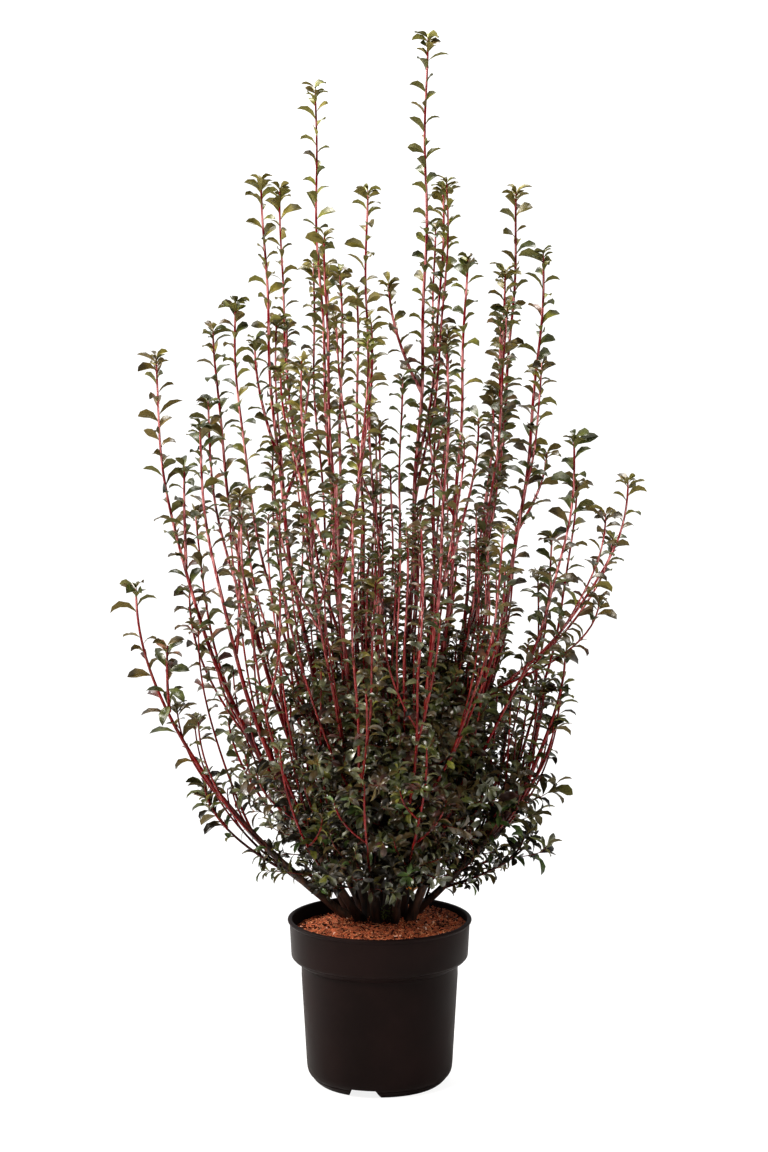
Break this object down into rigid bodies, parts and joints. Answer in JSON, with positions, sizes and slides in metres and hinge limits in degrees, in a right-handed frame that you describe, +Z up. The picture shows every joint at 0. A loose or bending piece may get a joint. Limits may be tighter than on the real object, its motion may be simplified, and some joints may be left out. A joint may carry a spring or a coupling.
{
  "type": "potted escallonia shrub",
  "caption": "Upright evergreen shrub with a fan of red shoots and small glossy leaves from a low crown of stems, standing in a round nursery pot filled with soil.",
  "frame": {"origin": "centre of the flat underside of the pot, on the surface that it stands on", "axes": "+Z up along the stems; +Y away from the viewer of the picture; +X to that viewer's right"},
  "size_m": [0.8053, 0.6719, 1.5853],
  "materials": {
    "pot": "black moulded plastic with a soft satin sheen",
    "soil": "loose red-brown fibre and bark chips, dry and matt",
    "bark": "thin grey-brown bark, slightly furrowed",
    "foliage": "glossy olive to bronze-green leaves on crimson shoots"
  },
  "bodies": {
    "root": {"far_left_foliage_1": "foliage", "far_left_low_foliage_1": "foliage", "far_left_stem": "bark", "far_right_foliage_1": "foliage", "far_right_foliage_2": "foliage", "far_right_low_foliage_1": "foliage", "far_right_stem": "bark", "left_back_foliage_1": "foliage", "left_back_foliage_2": "foliage", "left_back_low_foliage_1": "foliage", "left_back_stem": "bark", "left_foliage_1": "foliage", "left_foliage_2": "foliage", "left_front_foliage_1": "foliage", "left_front_foliage_2": "foliage", "left_front_low_foliage_1": "foliage", "left_front_stem": "bark", "left_inner_foliage_1": "foliage", "left_inner_foliage_2": "foliage", "left_inner_stem": "bark", "left_low_foliage_1": "foliage", "left_stem": "bark", "middle_back_foliage_1": "foliage", "middle_back_foliage_2": "foliage", "middle_back_low_foliage_1": "foliage", "middle_back_stem": "bark", "middle_foliage_1": "foliage", "middle_foliage_2": "foliage", "middle_front_foliage_1": "foliage", "middle_front_foliage_2": "foliage", "middle_front_foliage_3": "foliage", "middle_front_low_foliage_1": "foliage", "middle_front_stem": "bark", "middle_left_foliage_1": "foliage", "middle_left_foliage_2": "foliage", "middle_left_stem": "bark", "middle_stem": "bark", "pot": "pot", "right_back_foliage_1": "foliage", "right_back_foliage_2": "foliage", "right_back_foliage_3": "foliage", "right_back_low_foliage_1": "foliage", "right_back_stem": "bark", "right_foliage_1": "foliage", "right_foliage_2": "foliage", "right_foliage_3": "foliage", "right_front_foliage_1": "foliage", "right_front_foliage_2": "foliage", "right_front_foliage_3": "foliage", "right_front_low_foliage_1": "foliage", "right_front_stem": "bark", "right_inner_foliage_1": "foliage", "right_inner_foliage_2": "foliage", "right_inner_stem": "bark", "right_stem": "bark", "soil": "soil"}
  },
  "joints": []
}
